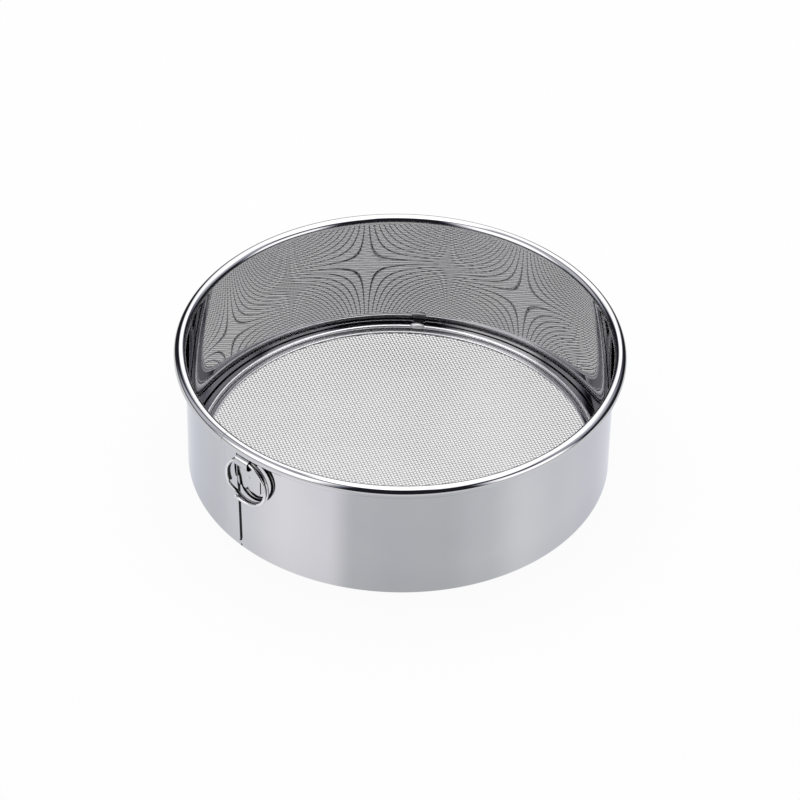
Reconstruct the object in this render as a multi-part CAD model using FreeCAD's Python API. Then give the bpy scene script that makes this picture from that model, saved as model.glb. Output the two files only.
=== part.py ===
import FreeCAD, Part
import math
import os
from FreeCAD import Vector

# Drum sieve of bright stainless sheet with a woven wire floor. Millimetres, +Z up. The origin is on
# the drum's axis in the plane that it stands on. The hanger is at the front, on the -Y side, and an
# angle round the drum is counted in degrees from there towards +X.

# ---- driving dimensions -------------------------------------------------------------------------
RIM_OUTER_RADIUS = 110.0     # over the rolled rim
DRUM_HEIGHT = 68.5           # table to the top of the rim
SHEET = 0.5                  # thickness of the band and its flange
RIM_BEAD = 6.0               # diameter of the rolled rim
CREASE_GAP = 0.1             # hairline between the end of a roll and the sheet that it meets

FOOT_BEND = 1.5              # outside radius where the wall turns in to the flange
FLANGE_INNER_RADIUS = 96.4   # inner edge of the flange under the mesh

LAP_START = -9.1             # end of the inner sheet, where the outer one steps over it
LAP_END = -4.05              # free edge of the outer sheet, beside the tab
STEP_WIDTH = 0.7             # degrees that the outer sheet needs to step out
LAP_BOTTOM = 3.5             # the lap's lower edge, above the foot bend
LAP_CORNER = 2.5             # rounding of its free lower corner
LAP_TOP = 62.4               # the lap ends under the rim
RIM_JOINT = -7.0             # where the ends of the rolled rim meet
RIM_JOINT_WIDTH = 0.15
FOOT_JOINT = -3.3            # where the ends of the flange meet
FOOT_JOINT_WIDTH = 0.6
FOOT_JOINT_HEIGHT = 2.4

MESH_WIRE = 0.35             # wire of the cloth; two wires cross, so the cloth is twice as thick
MESH_RADIUS = 102.3          # cut radius of the disc, held in the clamp
MESH_OPEN_RADIUS = 95.2      # the part of the cloth that is open
MESH_TURN = 61.4             # direction of the wires in the drum
NET_PITCH = 10.8             # the net stands for the cloth, with wider gaps and bars
NET_BAR = 1.6
NET_LEAST_GAP_AREA = 9.0     # smaller slivers at the edge stay closed

CLAMP_OUTER_RADIUS = 103.4
CLAMP_INNER_RADIUS = 95.6
CLAMP_SHEET = 0.4            # thickness of the clamp ring, which is also its full round inner edge

RETAINER_RADIUS = 99.5       # centre line of the retaining ring, from the drum's axis
RETAINER_WIRE = 2.0
WELD_ANGLE = 217.1           # where the retaining ring is butt-welded
WELD_LENGTH = 6.0
WELD_WIDTH = 3.0
WELD_LIFT = 0.05             # the blob stays clear of the clamp ring

TAB_SHEET = 0.4
TAB_WIDTH = 14.6
TAB_BOTTOM = 40.2
TAB_SHOULDER = 53.0          # the tab is narrower above this height
TAB_CORNER = 1.5
TAB_SHOULDER_CORNER = 0.9
EYE_OFFSET = -0.6            # the rolled eye stands a little to the left of the tab's middle
EYE_LENGTH = 8.0
EYE_BORE_RADIUS = 2.1
EYE_HEIGHT = 58.7            # centre of the eye's round top above the table
EYE_DROP = 1.2               # straight front between the eye's round top and its round bottom
TAB_WELD_HEIGHT = 47.5
TAB_WELD_DIAMETER = 2.4
TAB_WELD_DEPTH = 0.2

RING_OUTER_DIAMETER = 25.5
RING_WIRE = 1.4
RING_SWAY = 1.5              # the ring hangs this far to the right of the eye's middle
RING_COIL_GAP = 0.42         # between the two coils
RING_STEP_START = 209.6      # the wire crosses from the back coil to the front one
RING_STEP_END = 245.0
RING_SPLAY = 0.7             # how far the front coil's free end springs out
RING_SPLAY_LENGTH = 60.0     # degrees of coil that the splay takes

# ---- what follows from them ---------------------------------------------------------------------
BEAD_CENTRE_RADIUS = RIM_OUTER_RADIUS - RIM_BEAD / 2
BEAD_CENTRE_HEIGHT = DRUM_HEIGHT - RIM_BEAD / 2
RIM_WIRE_RADIUS = RIM_BEAD / 2 - SHEET
WALL_INNER_RADIUS = RIM_OUTER_RADIUS - RIM_BEAD
WALL_OUTER_RADIUS = WALL_INNER_RADIUS + SHEET
MESH_TOP = SHEET + 2 * MESH_WIRE
CLAMP_TOP = MESH_TOP + CLAMP_SHEET
EYE_OUTER_RADIUS = EYE_BORE_RADIUS + TAB_SHEET
EYE_CENTRE_RADIUS = WALL_OUTER_RADIUS + EYE_OUTER_RADIUS
EYE_SAG = EYE_CENTRE_RADIUS - math.sqrt(EYE_CENTRE_RADIUS ** 2 - (EYE_LENGTH / 2) ** 2)
HINGE_RADIUS = EYE_CENTRE_RADIUS - EYE_SAG / 2
RING_RADIUS = (RING_OUTER_DIAMETER - RING_WIRE) / 2
RING_SAG = RING_RADIUS - math.sqrt(RING_RADIUS ** 2 - (EYE_LENGTH / 2 + RING_SWAY) ** 2)
RING_CENTRE_X = EYE_OFFSET + RING_SWAY
RING_CENTRE_HEIGHT = EYE_HEIGHT + RING_SAG / 2 - RING_RADIUS
COIL_PITCH = RING_WIRE + RING_COIL_GAP

AXIS = Vector(0, 0, 1)
ORIGIN = Vector(0, 0, 0)
FRONT = Vector(0, -1, 0)
PAST = 1.0                   # how far a cutting block runs past what it cuts


# ---- helpers ------------------------------------------------------------------------------------
def at(radius, angle, height=0.0):
    """A point at a radius and an angle round the drum."""
    turn = math.radians(angle)
    return Vector(radius * math.sin(turn), -radius * math.cos(turn), height)


def in_section(radius, height):
    """A point of a section through the front of the drum."""
    return Vector(0, -radius, height)


def line(start, end):
    return Part.LineSegment(start, end).toShape()


def arc(start, middle, end):
    return Part.Arc(start, middle, end).toShape()


def on_roll(centre_radius, centre_height, radius, angle):
    """A point of a rolled edge's section; 0 degrees faces out and 90 degrees faces up."""
    turn = math.radians(angle)
    return in_section(centre_radius + radius * math.cos(turn), centre_height + radius * math.sin(turn))


def rolled_edge(centre_radius, centre_height, outer_radius, sheet, drop=0.0):
    """Edges of a sheet's top edge rolled outward: up its back, over, and down its front.

    The sheet stands on the inside of the roll, and the roll ends a hairline short of the sheet's front.
    With a drop, the roll's front runs straight down for that length before it turns back in.
    """
    inner_radius = outer_radius - sheet
    tail = math.degrees(math.acos((inner_radius - CREASE_GAP) / outer_radius)) - 180

    def over(radius, angle):
        return on_roll(centre_radius, centre_height, radius, angle)

    def under(radius, angle):
        return on_roll(centre_radius, centre_height - drop, radius, angle)

    straight_radii = (outer_radius, inner_radius) if drop else ()
    return [
        arc(over(outer_radius, 180), over(outer_radius, 90), over(outer_radius, 0)),
        *[line(over(radius, 0), under(radius, 0)) for radius in straight_radii],
        arc(under(outer_radius, 0), under(outer_radius, tail / 2), under(outer_radius, tail)),
        line(under(outer_radius, tail), under(inner_radius, tail)),
        arc(under(inner_radius, tail), under(inner_radius, tail / 2), under(inner_radius, 0)),
        arc(over(inner_radius, 0), over(inner_radius, 90), over(inner_radius, 180)),
    ]


def revolved(edges, start=0.0, sweep=360.0):
    """A section's edges closed to a face and turned about the drum's axis."""
    face = Part.Face(Part.Wire(Part.__sortEdges__(edges)))
    solid = face.revolve(ORIGIN, AXIS, sweep)
    solid.rotate(ORIGIN, AXIS, start)
    return solid


def sector(inner_radius, outer_radius, start, end, bottom, top):
    """A piece of a cylinder's wall between two angles."""
    middle = (start + end) / 2
    edges = [
        arc(at(outer_radius, start), at(outer_radius, middle), at(outer_radius, end)),
        line(at(outer_radius, end), at(inner_radius, end)),
        arc(at(inner_radius, end), at(inner_radius, middle), at(inner_radius, start)),
        line(at(inner_radius, start), at(outer_radius, start)),
    ]
    solid = Part.Face(Part.Wire(edges)).extrude(Vector(0, 0, top - bottom))
    solid.translate(Vector(0, 0, bottom))
    return solid


def radial_slit(width, angle, inner_radius, outer_radius, bottom, top):
    """A thin block that stands radially at an angle round the drum."""
    block = Part.makeBox(width, outer_radius - inner_radius, top - bottom,
                         Vector(-width / 2, -outer_radius, bottom))
    block.rotate(ORIGIN, AXIS, angle)
    return block


def rounded_outline(corners):
    """A closed wire in the front plane from (x, height, rounding) corners."""
    count = len(corners)
    ends = []
    edges = []
    for index, (x, height, rounding) in enumerate(corners):
        corner = Vector(x, 0, height)
        before = Vector(corners[index - 1][0], 0, corners[index - 1][1]) - corner
        after = Vector(corners[(index + 1) % count][0], 0, corners[(index + 1) % count][1]) - corner
        before.normalize()
        after.normalize()
        half = before.getAngle(after) / 2
        reach = rounding / math.tan(half)
        inward = before + after
        inward.normalize()
        start = corner + before * reach
        end = corner + after * reach
        middle = corner + inward * (rounding / math.sin(half) - rounding)
        ends.append((start, end))
        if rounding > 0:
            edges.append(arc(start, middle, end))
    for index in range(count):
        edges.append(line(ends[index - 1][1], ends[index][0]))
    return Part.Wire(Part.__sortEdges__(edges))


def save(name, shape):
    """Write one sub-part and say what it is."""
    shape = shape.removeSplitter()
    shape.exportStep("parts/" + name + ".step")
    print(name, "solids", len(shape.Solids), "valid", shape.isValid(),
          "volume %.1f mm3" % shape.Volume)
    return shape


# ---- drum band ----------------------------------------------------------------------------------
def drum_band_section():
    """Flange, foot bend, wall and rolled rim in one strip of sheet."""
    bend_centre = WALL_OUTER_RADIUS - FOOT_BEND
    inner_bend = FOOT_BEND - SHEET
    slant = math.sqrt(0.5)
    outer_middle = in_section(bend_centre + FOOT_BEND * slant, FOOT_BEND * (1 - slant))
    inner_middle = in_section(bend_centre + inner_bend * slant, FOOT_BEND - inner_bend * slant)
    return [
        line(in_section(WALL_INNER_RADIUS, FOOT_BEND), in_section(WALL_INNER_RADIUS, BEAD_CENTRE_HEIGHT)),
        *rolled_edge(BEAD_CENTRE_RADIUS, BEAD_CENTRE_HEIGHT, RIM_BEAD / 2, SHEET),
        line(in_section(WALL_OUTER_RADIUS, BEAD_CENTRE_HEIGHT), in_section(WALL_OUTER_RADIUS, FOOT_BEND)),
        arc(in_section(WALL_OUTER_RADIUS, FOOT_BEND), outer_middle, in_section(bend_centre, 0)),
        line(in_section(bend_centre, 0), in_section(FLANGE_INNER_RADIUS, 0)),
        line(in_section(FLANGE_INNER_RADIUS, 0), in_section(FLANGE_INNER_RADIUS, SHEET)),
        line(in_section(FLANGE_INNER_RADIUS, SHEET), in_section(bend_centre, SHEET)),
        arc(in_section(bend_centre, SHEET), inner_middle, in_section(WALL_INNER_RADIUS, FOOT_BEND)),
    ]


def lap():
    """The outer sheet of the seam, with the step that lifts it over the inner one."""
    step_start = LAP_START - STEP_WIDTH
    lap_radius = WALL_OUTER_RADIUS + SHEET
    middle = (LAP_START + LAP_END) / 2
    edges = [
        line(at(WALL_OUTER_RADIUS, step_start), at(lap_radius, LAP_START)),
        arc(at(lap_radius, LAP_START), at(lap_radius, middle), at(lap_radius, LAP_END)),
        line(at(lap_radius, LAP_END), at(WALL_OUTER_RADIUS, LAP_END)),
        arc(at(WALL_OUTER_RADIUS, LAP_END), at(WALL_OUTER_RADIUS, middle), at(WALL_OUTER_RADIUS, LAP_START)),
        line(at(WALL_OUTER_RADIUS, LAP_START), at(WALL_INNER_RADIUS, step_start)),
        line(at(WALL_INNER_RADIUS, step_start), at(WALL_OUTER_RADIUS, step_start)),
    ]
    sheet = Part.Face(Part.Wire(edges)).extrude(Vector(0, 0, LAP_TOP - LAP_BOTTOM))
    sheet.translate(Vector(0, 0, LAP_BOTTOM))
    free_corner = at(lap_radius - SHEET / 2, LAP_END, LAP_BOTTOM)
    corner_edge = min(sheet.Edges, key=lambda edge: edge.CenterOfMass.distanceToPoint(free_corner))
    return sheet.makeFillet(LAP_CORNER, [corner_edge])


def drum_band():
    band = revolved(drum_band_section())
    step = sector(WALL_INNER_RADIUS - PAST, WALL_OUTER_RADIUS + PAST, LAP_START - STEP_WIDTH, LAP_START,
                  LAP_BOTTOM, LAP_TOP)
    band = band.cut(step).fuse(lap())
    rim_joint = radial_slit(RIM_JOINT_WIDTH, RIM_JOINT, WALL_OUTER_RADIUS, RIM_OUTER_RADIUS + PAST,
                            LAP_TOP, DRUM_HEIGHT + PAST)
    foot_joint = radial_slit(FOOT_JOINT_WIDTH, FOOT_JOINT, FLANGE_INNER_RADIUS - PAST,
                             WALL_OUTER_RADIUS + PAST, -PAST, FOOT_JOINT_HEIGHT)
    return band.cut([rim_joint, foot_joint])


def rim_wire():
    """The core wire that the rim is rolled round."""
    return Part.makeTorus(BEAD_CENTRE_RADIUS, RIM_WIRE_RADIUS, Vector(0, 0, BEAD_CENTRE_HEIGHT))


# ---- floor --------------------------------------------------------------------------------------
def net_gaps():
    """The outlines of the net's gaps: squares on a turned grid, trimmed to the open circle."""
    opening = Part.Face(Part.Wire(Part.makeCircle(MESH_OPEN_RADIUS)))
    gap = NET_PITCH - NET_BAR
    rows = int(MESH_OPEN_RADIUS / NET_PITCH) + 1
    gaps = []
    for row in range(-rows, rows + 1):
        for column in range(-rows, rows + 1):
            square = Part.makePlane(gap, gap, Vector(column * NET_PITCH - gap / 2,
                                                     row * NET_PITCH - gap / 2, 0))
            open_part = square.common(opening)
            if open_part.Area > NET_LEAST_GAP_AREA:
                gaps.append(open_part.Faces[0].OuterWire)
    return gaps


def sieve_mesh():
    """The wire cloth, as one holed disc as thick as two crossing wires."""
    gaps = net_gaps()
    print("gaps in the net", len(gaps))
    rim = Part.Wire(Part.makeCircle(MESH_RADIUS))
    net = Part.makeFace([rim, *gaps], "Part::FaceMakerBullseye").extrude(Vector(0, 0, 2 * MESH_WIRE))
    net.rotate(ORIGIN, AXIS, MESH_TURN)
    net.translate(Vector(0, 0, SHEET))
    return net


def clamp_ring():
    """A flat ring of sheet on the cloth, with a rounded inner edge."""
    edge = CLAMP_INNER_RADIUS + CLAMP_SHEET / 2
    return revolved([
        line(in_section(CLAMP_OUTER_RADIUS, MESH_TOP), in_section(edge, MESH_TOP)),
        arc(in_section(edge, MESH_TOP), in_section(CLAMP_INNER_RADIUS, MESH_TOP + CLAMP_SHEET / 2),
            in_section(edge, CLAMP_TOP)),
        line(in_section(edge, CLAMP_TOP), in_section(CLAMP_OUTER_RADIUS, CLAMP_TOP)),
        line(in_section(CLAMP_OUTER_RADIUS, CLAMP_TOP), in_section(CLAMP_OUTER_RADIUS, MESH_TOP)),
    ])


def retaining_ring():
    """A round wire ring that lies on the clamp ring, with its ends butt-welded in a blob."""
    ring = Part.makeTorus(RETAINER_RADIUS, RETAINER_WIRE / 2, Vector(0, 0, CLAMP_TOP + RETAINER_WIRE / 2))
    profile = Part.Ellipse(ORIGIN, WELD_LENGTH / 2, WELD_WIDTH / 2)
    half = Part.ArcOfEllipse(profile, 0, math.pi).toShape()
    spindle = line(Vector(-WELD_LENGTH / 2, 0, 0), Vector(WELD_LENGTH / 2, 0, 0))
    blob = Part.Face(Part.Wire([half, spindle])).revolve(ORIGIN, Vector(1, 0, 0), 360)
    blob.translate(in_section(RETAINER_RADIUS, CLAMP_TOP + WELD_LIFT + WELD_WIDTH / 2))
    blob.rotate(ORIGIN, AXIS, WELD_ANGLE)
    return ring.fuse(blob)


# ---- hanger -------------------------------------------------------------------------------------
def hanger_tab():
    """A plate on the wall whose narrower top is rolled forward into an eye."""
    half_width = TAB_WIDTH / 2
    eye_left = EYE_OFFSET - EYE_LENGTH / 2
    eye_right = EYE_OFFSET + EYE_LENGTH / 2
    sweep = 2 * math.degrees(math.asin((half_width + PAST) / WALL_OUTER_RADIUS))
    front_radius = WALL_OUTER_RADIUS + TAB_SHEET
    strip = revolved([
        line(in_section(WALL_OUTER_RADIUS, TAB_BOTTOM), in_section(WALL_OUTER_RADIUS, EYE_HEIGHT)),
        *rolled_edge(EYE_CENTRE_RADIUS, EYE_HEIGHT, EYE_OUTER_RADIUS, TAB_SHEET, EYE_DROP),
        line(in_section(front_radius, EYE_HEIGHT), in_section(front_radius, TAB_BOTTOM)),
        line(in_section(front_radius, TAB_BOTTOM), in_section(WALL_OUTER_RADIUS, TAB_BOTTOM)),
    ], -sweep / 2, sweep)
    past_eye = EYE_HEIGHT + EYE_OUTER_RADIUS + PAST
    outline = rounded_outline([
        (-half_width, TAB_BOTTOM, TAB_CORNER), (half_width, TAB_BOTTOM, TAB_CORNER),
        (half_width, TAB_SHOULDER, TAB_SHOULDER_CORNER), (eye_right, TAB_SHOULDER, TAB_SHOULDER_CORNER),
        (eye_right, past_eye, 0), (eye_left, past_eye, 0),
        (eye_left, TAB_SHOULDER, TAB_SHOULDER_CORNER), (-half_width, TAB_SHOULDER, TAB_SHOULDER_CORNER),
    ])
    blank = Part.Face(outline).extrude(FRONT * (RIM_OUTER_RADIUS + PAST))
    ball_radius = ((TAB_WELD_DIAMETER / 2) ** 2 + TAB_WELD_DEPTH ** 2) / (2 * TAB_WELD_DEPTH)
    ball_centre = in_section(front_radius - TAB_WELD_DEPTH + ball_radius, TAB_WELD_HEIGHT)
    ball = Part.makeSphere(ball_radius, ball_centre)
    return strip.common(blank).cut(ball)


def on_coil(angle, offset):
    """A point of the split ring's centre line; 0 degrees is at the top, in the eye."""
    turn = math.radians(angle)
    return Vector(RING_CENTRE_X + RING_RADIUS * math.sin(turn), -HINGE_RADIUS + offset,
                  RING_CENTRE_HEIGHT + RING_RADIUS * math.cos(turn))


def coil_direction(angle):
    turn = math.radians(angle)
    return Vector(math.cos(turn), 0, -math.sin(turn))


def coil_arcs(start, end, offset):
    """A flat stretch of coil, in arcs of at most a quarter turn."""
    count = math.ceil((end - start) / 90)
    span = (end - start) / count
    return [arc(on_coil(start + index * span, offset), on_coil(start + (index + 0.5) * span, offset),
                on_coil(start + (index + 1) * span, offset)) for index in range(count)]


def arc_in_corner(start, corner, end):
    """The arc that touches both legs of a corner with legs of one length."""
    base = (start + end) / 2
    height = (corner - base).Length
    half_chord = (end - start).Length / 2
    rise = half_chord * math.tan(math.atan2(height, half_chord) / 2)
    return arc(start, base + (corner - base) * (rise / height), end)


def crossing(start, start_direction, end, end_direction):
    """Two arcs that leave one point and reach another in given directions."""
    gap = end - start
    both = start_direction + end_direction
    spread = 2 * (1 - start_direction.dot(end_direction))
    reach = (math.sqrt(gap.dot(both) ** 2 + spread * gap.dot(gap)) - gap.dot(both)) / spread
    first_corner = start + start_direction * reach
    second_corner = end - end_direction * reach
    joint = (first_corner + second_corner) / 2
    return [arc_in_corner(start, first_corner, joint), arc_in_corner(joint, second_corner, end)]


def hanging_ring():
    """Two coils of one wire: the back coil, a step across, and the front coil, whose end springs out."""
    back = COIL_PITCH / 2
    front = -COIL_PITCH / 2
    first_end = RING_STEP_END
    step_start = RING_STEP_START + 360
    step_end = RING_STEP_END + 360
    last_end = RING_STEP_START + 720
    splay_start = last_end - RING_SPLAY_LENGTH
    path = Part.Wire([
        *coil_arcs(first_end, step_start, back),
        *crossing(on_coil(step_start, back), coil_direction(step_start),
                  on_coil(step_end, front), coil_direction(step_end)),
        *coil_arcs(step_end, splay_start, front),
        *crossing(on_coil(splay_start, front), coil_direction(splay_start),
                  on_coil(last_end, front - RING_SPLAY), coil_direction(last_end)),
    ])
    section = Part.Wire(Part.makeCircle(RING_WIRE / 2, on_coil(first_end, back), coil_direction(first_end)))
    tube = path.makePipeShell([section], True, False)
    expected = path.Length * math.pi * (RING_WIRE / 2) ** 2
    print("ring wire length %.1f mm, volume over section times length %.4f"
          % (path.Length, tube.Volume / expected))
    print("least gap between the coils %.2f mm" % least_gap(path))
    return tube


def least_gap(path):
    """The least clear distance from the wire to itself, a quarter turn or more apart."""
    points = path.discretize(Number=400)
    apart = int(len(points) / 8)
    nearest = min(points[first].distanceToPoint(points[second])
                  for first in range(len(points)) for second in range(first + apart, len(points)))
    return nearest - RING_WIRE


# ---- build --------------------------------------------------------------------------------------
os.makedirs("parts", exist_ok=True)
PARTS = {
    "drum_band": drum_band,
    "rim_wire": rim_wire,
    "sieve_mesh": sieve_mesh,
    "clamp_ring": clamp_ring,
    "retaining_ring": retaining_ring,
    "hanger_tab": hanger_tab,
    "hanging_ring": hanging_ring,
}
for part_name, build in PARTS.items():
    save(part_name, build())
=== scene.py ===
# %% [markdown]
# # A drum sieve in bright stainless steel
# This lesson dresses a drum sieve, the flat round sieve of a pastry kitchen. A CAD model gives the real
# sizes and the parts that move, and Blender gives the looks. On the real thing a polished band is bent
# to a drum, its top edge is rolled round a wire, and woven cloth is clamped in its foot.
# Polished steel has almost no colour of its own, so most of the work is in clean curved surfaces and in
# what stands round them to be mirrored.

# %% Load the fixed CAD frame
import math

import bpy
from mathutils import Matrix, Vector


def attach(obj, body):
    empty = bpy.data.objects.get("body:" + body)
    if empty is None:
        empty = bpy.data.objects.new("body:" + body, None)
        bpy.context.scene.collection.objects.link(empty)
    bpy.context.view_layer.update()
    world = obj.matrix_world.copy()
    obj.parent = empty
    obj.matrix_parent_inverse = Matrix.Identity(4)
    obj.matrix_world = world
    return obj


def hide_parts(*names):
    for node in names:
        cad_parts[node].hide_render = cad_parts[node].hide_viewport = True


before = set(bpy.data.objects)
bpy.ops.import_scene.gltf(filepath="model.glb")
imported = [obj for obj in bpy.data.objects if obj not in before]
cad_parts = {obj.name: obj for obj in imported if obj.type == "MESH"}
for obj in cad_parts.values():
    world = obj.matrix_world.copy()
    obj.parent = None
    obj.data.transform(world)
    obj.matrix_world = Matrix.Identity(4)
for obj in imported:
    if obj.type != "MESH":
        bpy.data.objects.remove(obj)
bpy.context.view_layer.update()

# %% [markdown]
# ## Sizes
# The sizes are those of the CAD model, written in millimetres as on a workshop drawing. Blender works
# in metres here, so every point passes through one small helper that divides by a thousand. Angles run
# round the drum in degrees from the hanger at the front, which is towards -Y.

# %% The sizes of the sieve
RIM_RADIUS = 110.0
HEIGHT = 68.5
SHEET = 0.5
BEAD_DIAMETER = 6.0
WALL_INSIDE = RIM_RADIUS - BEAD_DIAMETER
WALL_OUTSIDE = WALL_INSIDE + SHEET
BEAD_CENTRE = (RIM_RADIUS - BEAD_DIAMETER / 2, HEIGHT - BEAD_DIAMETER / 2)


def at(radius, angle, height):
    """A point of the drum in metres, from millimetres and degrees."""
    turn = math.radians(angle)
    return (radius * math.sin(turn) / 1000, -radius * math.cos(turn) / 1000, height / 1000)


print("drum", 2 * RIM_RADIUS, "mm wide and", HEIGHT, "mm high")

# %% [markdown]
# ## A mesh with a name and a place in the frame
# Each piece becomes one object. The helper makes its mesh, shades it smooth up to a limit angle so that
# cut edges stay crisp, and hangs it on the body that it moves with. It also says which CAD node the piece
# stands for, so that the plain solid is hidden behind it.

# %% A helper that makes a piece
def new_object(name, data):
    """Puts a mesh, a lamp or a camera into the scene."""
    thing = bpy.data.objects.new(name, data)
    bpy.context.scene.collection.objects.link(thing)
    return thing


def make_piece(name, points, faces, materials, body, slot=None, nodes=(), sharp_angle=40, finish=None):
    """finish, if given, holds for each face the number of its material in the list of materials."""
    mesh = bpy.data.meshes.new(name)
    mesh.from_pydata(points, [], faces)
    mesh.update()
    mesh.shade_smooth()
    mesh.set_sharp_from_angle(angle=math.radians(sharp_angle))
    for material in materials:
        mesh.materials.append(material)
    if finish:
        mesh.polygons.foreach_set("material_index", finish)
    piece = new_object(name, mesh)
    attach(piece, body)
    if nodes:
        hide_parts(*nodes)
    print(name, len(mesh.vertices), "points", len(mesh.polygons), "faces")


print("piece helper ready")

# %% [markdown]
# ## Sheet metal as two skins
# Sheet metal is one surface with a thickness. This helper takes the points of both skins in the same
# rows and columns, and lays a face on each cell of each skin. Wherever a cell is left out, or the grid
# ends, it closes the edge across the thickness. A slit or a cut is then only a list of cells to skip.

# %% A helper that makes sheet metal
def sheet_faces(skin_a, skin_b, wraps, is_open=lambda row, column: False):
    """Points, faces and finishes of a sheet; both skins are lists of rows of points.

    A finish is 0 on the skins and 1 on the cut edges between them.
    """
    rows, columns = len(skin_a), len(skin_a[0])
    points = [point for skin in (skin_a, skin_b) for row in skin for point in row]
    cell_columns = columns if wraps else columns - 1
    used = [[not is_open(row, column) for column in range(cell_columns)] for row in range(rows - 1)]

    def index(skin, row, column):
        return skin * rows * columns + row * columns + column % columns

    def is_used(row, column):
        if wraps:
            column %= columns
        return 0 <= row < rows - 1 and 0 <= column < cell_columns and used[row][column]

    faces, finish = [], []
    for row in range(rows - 1):
        for column in range(cell_columns):
            if not used[row][column]:
                continue
            corners = [(row, column), (row, column + 1), (row + 1, column + 1), (row + 1, column)]
            neighbours = [(row - 1, column), (row, column + 1), (row + 1, column), (row, column - 1)]
            faces.append([index(0, *corner) for corner in corners])
            faces.append([index(1, *corner) for corner in reversed(corners)])
            finish += [0, 0]
            for side in range(4):
                if not is_used(*neighbours[side]):
                    start, end = corners[side], corners[(side + 1) % 4]
                    faces.append([index(0, *start), index(1, *start), index(1, *end), index(0, *end)])
                    finish.append(1)
    return points, faces, finish


print("sheet helper ready")

# %% [markdown]
# ## Materials from nodes
# A picture could be wrapped on the steel, but nodes stay sharp at any distance and need no unwrapping.
# These small helpers add a node and wire it in one line. Sheet that is bent to a drum gets coordinates of
# its own, the angle, the radius and the height, so that a pattern can run round it.

# %% Helpers for materials
def new_material(name):
    material = bpy.data.materials.new(name)
    material.use_nodes = True
    material.node_tree.nodes.clear()
    return material


def add_node(material, kind, inputs=None, **settings):
    """A node with its settings and inputs; an input is a value or another node's output."""
    node = material.node_tree.nodes.new(kind)
    for key, value in settings.items():
        setattr(node, key, value)
    for key, value in (inputs or {}).items():
        if isinstance(value, bpy.types.NodeSocket):
            material.node_tree.links.new(value, node.inputs[key])
        else:
            node.inputs[key].default_value = value
    return node


def math_value(material, operation, *values):
    """The result of a sum on numbers or on other nodes' outputs."""
    return add_node(material, "ShaderNodeMath", dict(enumerate(values)), operation=operation).outputs[0]


def noise_value(material, coordinates, stretch, scale, detail=3.0):
    """Noise from 0 to 1 over coordinates that are stretched by three factors."""
    mapping = add_node(material, "ShaderNodeMapping", {"Vector": coordinates, "Scale": stretch})
    noise = add_node(material, "ShaderNodeTexNoise",
                     {"Vector": mapping.outputs["Vector"], "Scale": scale, "Detail": detail})
    return noise.outputs["Fac"]


def between(material, value, low, high, result_low, result_high):
    """Rescales a value from one range to another, and stays inside it."""
    node = add_node(material, "ShaderNodeMapRange",
                    {"Value": value, "From Min": low, "From Max": high,
                     "To Min": result_low, "To Max": result_high})
    return node.outputs["Result"]


def round_the_drum(material, coordinates):
    """Coordinates for sheet that is bent to a drum: angle in radians, radius and height."""
    parts = add_node(material, "ShaderNodeSeparateXYZ", {"Vector": coordinates})
    x, y, z = (parts.outputs[axis] for axis in "XYZ")
    angle = math_value(material, "ARCTAN2", x, y)
    squares = math_value(material, "MULTIPLY_ADD", y, y, math_value(material, "MULTIPLY", x, x))
    radius = math_value(material, "SQRT", squares)
    return add_node(material, "ShaderNodeCombineXYZ", {"X": angle, "Y": radius, "Z": z}).outputs["Vector"]


print("material helpers ready")

# %% [markdown]
# ## Polished steel
# Bright stainless sheet mirrors a little more than half of the light. It isn't perfect: rolling leaves
# hairlines that run round the drum, hands leave dull patches, and the sheet is a touch wavy. The waves and
# hairlines go to the bump, the dull patches go to the roughness, and broad patches shift the tone.

# %% A helper that makes steel
LINES_ROUND = (3.0, 1500.0, 1500.0)
LINES_UPRIGHT = (1500.0, 1500.0, 200.0)
PATCH_SCALE, SMUDGE_SCALE, SWELL_SCALE = 24.0, 95.0, 14.0


def steel(name, light, dark, smooth, dull, hairlines, waves, along_drum=True):
    """Polished steel between two tones and two roughnesses, with hairline and wave heights in metres."""
    material = new_material(name)
    place = add_node(material, "ShaderNodeTexCoord").outputs["Object"]
    run = round_the_drum(material, place) if along_drum else place
    lines = noise_value(material, run, LINES_ROUND if along_drum else LINES_UPRIGHT, 1.0, detail=2.0)
    patches = noise_value(material, place, (1.0, 1.0, 1.0), PATCH_SCALE, detail=4.0)
    smudges = noise_value(material, place, (1.0, 1.0, 1.6), SMUDGE_SCALE, detail=5.0)
    swells = noise_value(material, place, (1.0, 1.0, 0.6), SWELL_SCALE, detail=1.0)
    tone = add_node(material, "ShaderNodeMix", {
        "Factor": between(material, patches, 0.3, 0.7, 0.0, 1.0), "A": (*dark, 1.0), "B": (*light, 1.0)
    }, data_type="RGBA")
    wear = math_value(material, "MULTIPLY", lines, smudges)
    roughness = between(material, wear, 0.18, 0.42, smooth, dull)
    line_bump = add_node(material, "ShaderNodeBump", {"Height": lines, "Distance": hairlines})
    wave_bump = add_node(material, "ShaderNodeBump", {
        "Height": swells, "Distance": waves, "Normal": line_bump.outputs["Normal"]})
    shader = add_node(material, "ShaderNodeBsdfPrincipled", {
        "Base Color": tone.outputs[2], "Metallic": 1.0, "Roughness": roughness,
        "Normal": wave_bump.outputs["Normal"]})
    add_node(material, "ShaderNodeOutputMaterial", {"Surface": shader.outputs["BSDF"]})
    return material


print("hairlines stretch by", LINES_ROUND, "round the drum and", LINES_UPRIGHT, "elsewhere")
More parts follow.
